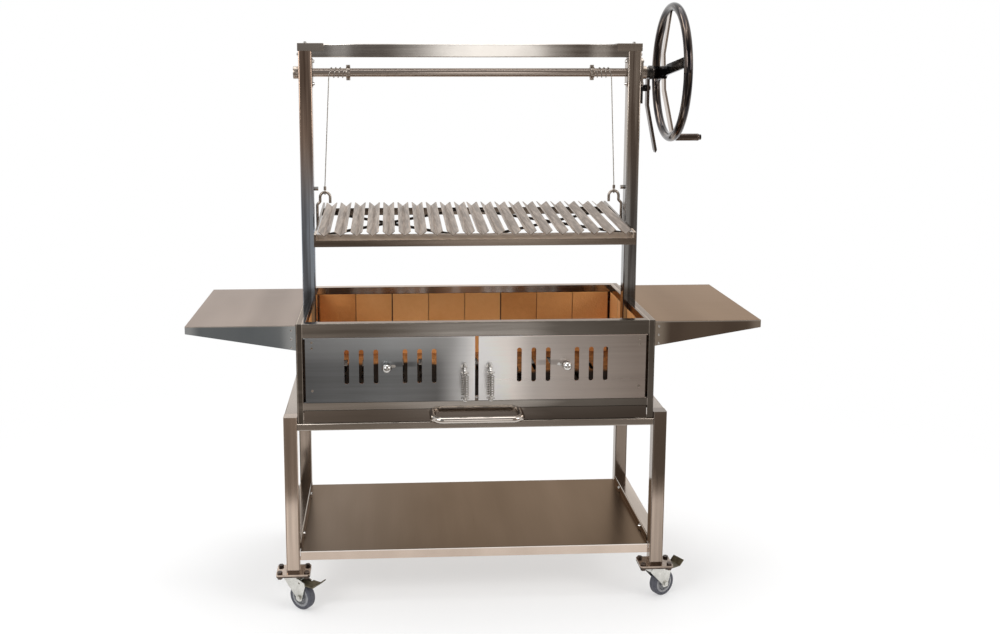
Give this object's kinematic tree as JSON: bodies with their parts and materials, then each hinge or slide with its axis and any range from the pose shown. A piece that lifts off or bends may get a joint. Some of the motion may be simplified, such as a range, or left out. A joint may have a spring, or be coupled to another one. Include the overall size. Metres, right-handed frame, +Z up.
{
  "type": "asado grill",
  "caption": "Wheeled brick-lined wood barbecue with slotted doors, ash drawer, side tables and a V-bar grate raised on cables by a handwheel.",
  "frame": {"origin": "on the floor, under the middle of the grill's bounding box", "axes": "+X to the right of someone who faces the doors, -Y towards that person, +Z up"},
  "size_m": [1.59, 0.6134, 1.6955],
  "materials": {
    "polished_steel": "polished stainless",
    "brushed_steel": "brushed stainless",
    "satin_bars": "satin stainless",
    "fire_brick": "matt fired clay",
    "mirror_chrome": "dark mirror chrome",
    "dark_steel": "satin black",
    "zinc": "bright zinc",
    "caster_tyre": "grey caster tread",
    "caster_core": "grey moulded core",
    "pedal": "dark olive",
    "wire_rope": "steel wire rope"
  },
  "bodies": {
    "stand": {"legs": "polished_steel", "side_rails": "polished_steel", "cross_rails": "polished_steel", "lower_shelf": "polished_steel", "caster_plates": "zinc", "caster_bolts": "zinc", "dome_bolts": "mirror_chrome", "firebox_sides": "brushed_steel", "firebox_back": "brushed_steel", "firebox_floor": "brushed_steel", "top_rim": "polished_steel", "front_frame": "polished_steel", "back_bricks": "fire_brick", "side_bricks": "fire_brick", "drawer_runners": "brushed_steel", "hinge_pins": "zinc", "door_catch": "brushed_steel", "side_table_left": "polished_steel", "side_table_right": "polished_steel", "uprights": "polished_steel", "crossbar": "polished_steel", "corner_caps": "polished_steel", "shaft_bearings": "zinc", "brake_bracket": "dark_steel", "lift_cables": "wire_rope"},
    "caster_front_left": {"caster_fork_front_left": "zinc"},
    "wheel_front_left": {"wheel_core_front_left": "caster_core", "tyre_front_left": "caster_tyre"},
    "pedal_front_left": {"brake_pedal_front_left": "pedal"},
    "caster_front_right": {"caster_fork_front_right": "zinc"},
    "wheel_front_right": {"wheel_core_front_right": "caster_core", "tyre_front_right": "caster_tyre"},
    "pedal_front_right": {"brake_pedal_front_right": "pedal"},
    "caster_rear_left": {"caster_fork_rear_left": "zinc"},
    "wheel_rear_left": {"wheel_core_rear_left": "caster_core", "tyre_rear_left": "caster_tyre"},
    "caster_rear_right": {"caster_fork_rear_right": "zinc"},
    "wheel_rear_right": {"wheel_core_rear_right": "caster_core", "tyre_rear_right": "caster_tyre"},
    "door_left": {"door_left": "brushed_steel", "pull_handle_left": "mirror_chrome", "handle_coil_left": "wire_rope"},
    "damper_left": {"damper_left": "mirror_chrome"},
    "door_right": {"door_right": "brushed_steel", "pull_handle_right": "mirror_chrome", "handle_coil_right": "wire_rope"},
    "damper_right": {"damper_right": "mirror_chrome"},
    "drawer": {"ash_drawer": "polished_steel", "drawer_handle": "polished_steel"},
    "winch": {"lift_shaft": "polished_steel", "shaft_collars": "zinc", "cable_windings": "wire_rope", "brake_drum": "dark_steel", "handwheel": "mirror_chrome"},
    "crank": {"crank_grip": "mirror_chrome"},
    "brake": {"brake_lever": "dark_steel"},
    "grate": {"grate_frame": "brushed_steel", "v_bars_left": "satin_bars", "v_bars_right": "satin_bars", "grate_hangers": "zinc"}
  },
  "joints": [
    {"name": "swivel_front_left", "type": "hinge", "parent": "stand", "child": "caster_front_left", "pos_m": [-0.515, -0.23175, 0.091], "axis": [0, 0, 1], "continuous": true},
    {"name": "roll_front_left", "type": "hinge", "parent": "caster_front_left", "child": "wheel_front_left", "pos_m": [-0.49042, -0.24896, 0.0375], "axis": [-0.5736, -0.8192, 0], "continuous": true},
    {"name": "brake_front_left", "type": "hinge", "parent": "caster_front_left", "child": "pedal_front_left", "pos_m": [-0.48961, -0.24953, 0.0805], "axis": [-0.5736, -0.8192, 0], "range_deg": [0, 12]},
    {"name": "swivel_front_right", "type": "hinge", "parent": "stand", "child": "caster_front_right", "pos_m": [0.515, -0.23175, 0.091], "axis": [0, 0, 1], "continuous": true},
    {"name": "roll_front_right", "type": "hinge", "parent": "caster_front_right", "child": "wheel_front_right", "pos_m": [0.54098, -0.21675, 0.0375], "axis": [0.5, -0.866, 0], "continuous": true},
    {"name": "brake_front_right", "type": "hinge", "parent": "caster_front_right", "child": "pedal_front_right", "pos_m": [0.54185, -0.21625, 0.0805], "axis": [0.5, -0.866, 0], "range_deg": [0, 12]},
    {"name": "swivel_rear_left", "type": "hinge", "parent": "stand", "child": "caster_rear_left", "pos_m": [-0.515, 0.27325, 0.091], "axis": [0, 0, 1], "continuous": true},
    {"name": "roll_rear_left", "type": "hinge", "parent": "caster_rear_left", "child": "wheel_rear_left", "pos_m": [-0.48681, 0.26299, 0.0375], "axis": [-0.342, -0.9397, 0], "continuous": true},
    {"name": "swivel_rear_right", "type": "hinge", "parent": "stand", "child": "caster_rear_right", "pos_m": [0.515, 0.27325, 0.091], "axis": [0, 0, 1], "continuous": true},
    {"name": "roll_rear_right", "type": "hinge", "parent": "caster_rear_right", "child": "wheel_rear_right", "pos_m": [0.48681, 0.26299, 0.0375], "axis": [-0.342, 0.9397, 0], "continuous": true},
    {"name": "door_left_swing", "type": "hinge", "parent": "stand", "child": "door_left", "pos_m": [-0.4725, -0.24125, 0.689], "axis": [0, 0, -1], "range_deg": [0, 105]},
    {"name": "damper_left_slide", "type": "slide", "parent": "door_left", "child": "damper_left", "axis": [1, 0, 0], "range_m": [0, 0.02]},
    {"name": "door_right_swing", "type": "hinge", "parent": "stand", "child": "door_right", "pos_m": [0.4725, -0.24125, 0.689], "axis": [0, 0, 1], "range_deg": [0, 105]},
    {"name": "damper_right_slide", "type": "slide", "parent": "door_right", "child": "damper_right", "axis": [-1, 0, 0], "range_m": [0, 0.02]},
    {"name": "drawer_pull", "type": "slide", "parent": "stand", "child": "drawer", "axis": [0, -1, 0], "range_m": [0, 0.42]},
    {"name": "shaft_turn", "type": "hinge", "parent": "stand", "child": "winch", "pos_m": [0, 0.02075, 1.495], "axis": [-1, 0, 0], "range_deg": [-878, 120]},
    {"name": "grate_lift", "type": "slide", "parent": "stand", "child": "grate", "axis": [0, 0, 1], "range_m": [-0.2195, 0.0302], "deforming": ["lift_cables"]},
    {"name": "crank_spin", "type": "hinge", "parent": "winch", "child": "crank", "pos_m": [0.638, 0.02075, 1.307], "axis": [1, 0, 0], "continuous": true},
    {"name": "brake_release", "type": "hinge", "parent": "stand", "child": "brake", "pos_m": [0.5233, 0.05075, 1.45], "axis": [-1, 0, 0], "range_deg": [0, 12]}
  ],
  "couplings": [
    {"joint": "grate_lift", "follows": "shaft_turn", "m_per_rad": 0.0143}
  ]
}
